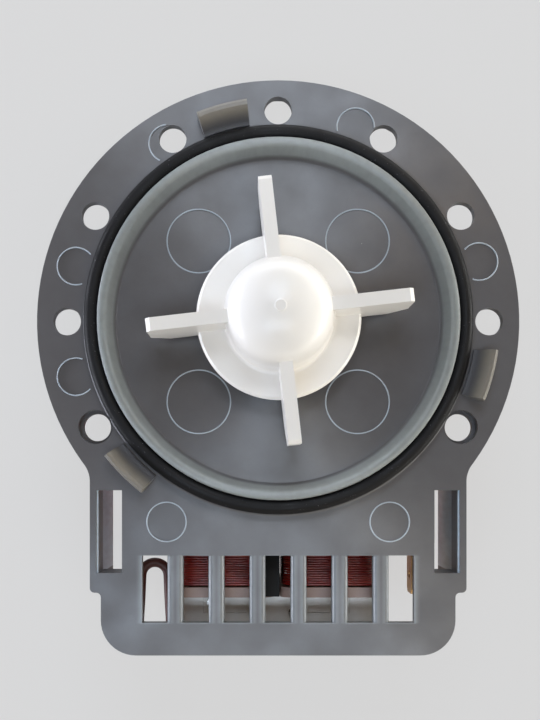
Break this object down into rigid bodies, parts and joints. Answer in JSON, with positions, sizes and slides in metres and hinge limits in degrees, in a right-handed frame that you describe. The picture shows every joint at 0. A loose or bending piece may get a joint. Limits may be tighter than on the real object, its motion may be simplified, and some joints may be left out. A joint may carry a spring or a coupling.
{
  "type": "washer drain pump",
  "caption": "Magnet drain pump motor: grey mounting plate with grille and locating lugs, sealed collar, open bladed impeller and twin-coil stator behind.",
  "frame": {"origin": "rotor axis in the front face of the mounting plate, at the centre of the screw-hole circle", "axes": "+Z out of the plate's front towards the impeller's tip, -Y towards the cooling grille, +X to the right in front view"},
  "size_m": [0.096, 0.1145, 0.0637],
  "materials": {
    "grey_plastic": "satin moulded",
    "black_rubber": "matt moulded",
    "dark_plastic": "satin moulded",
    "white_plastic": "satin moulded",
    "bush_bronze": "sintered",
    "core_steel": "stacked laminations",
    "bright_steel": "zinc plated",
    "bobbin_plastic": "satin moulded",
    "black_card": "matt fibre card",
    "inner_winding": "enamelled copper mass",
    "enamelled_wire": "enamelled copper",
    "terminal_brass": "stamped",
    "lead_sleeve": "soft sleeve",
    "shaft_steel": "ground",
    "magnet_ferrite": "sintered ferrite",
    "washer_plastic": "satin moulded"
  },
  "bodies": {
    "housing": {"mounting_plate": "grey_plastic", "cooling_grille": "grey_plastic", "rotor_can": "grey_plastic", "collar_seal": "black_rubber", "bearing_holder": "dark_plastic", "holder_seal": "black_rubber", "front_bush": "bush_bronze", "front_bush_mount": "black_rubber", "rear_bush": "bush_bronze", "rear_bush_mount": "black_rubber", "core_left_leg": "core_steel", "core_right_leg": "core_steel", "core_yoke": "core_steel", "core_rivets": "bright_steel", "stator_screws": "bright_steel", "left_bobbin": "bobbin_plastic", "right_bobbin": "bobbin_plastic", "insulation_card": "black_card", "left_winding_body": "inner_winding", "right_winding_body": "inner_winding", "left_winding": "enamelled_wire", "right_winding": "enamelled_wire", "terminals": "terminal_brass", "lead_loop": "lead_sleeve"},
    "rotor": {"shaft": "shaft_steel", "rotor_magnet": "magnet_ferrite", "magnet_overmould": "dark_plastic", "thrust_washers": "washer_plastic", "driver_dog": "dark_plastic"},
    "impeller": {"impeller": "white_plastic", "hub_closing_disc": "white_plastic", "stop_cushions": "black_rubber"}
  },
  "joints": [
    {"name": "rotor_spin", "type": "hinge", "parent": "housing", "child": "rotor", "pos_m": [0, 0, 0], "axis": [0, 0, 1], "continuous": true},
    {"name": "impeller_play", "type": "hinge", "parent": "rotor", "child": "impeller", "pos_m": [0, 0, 0.01], "axis": [0, 0, 1], "range_deg": [-92, 92]}
  ]
}
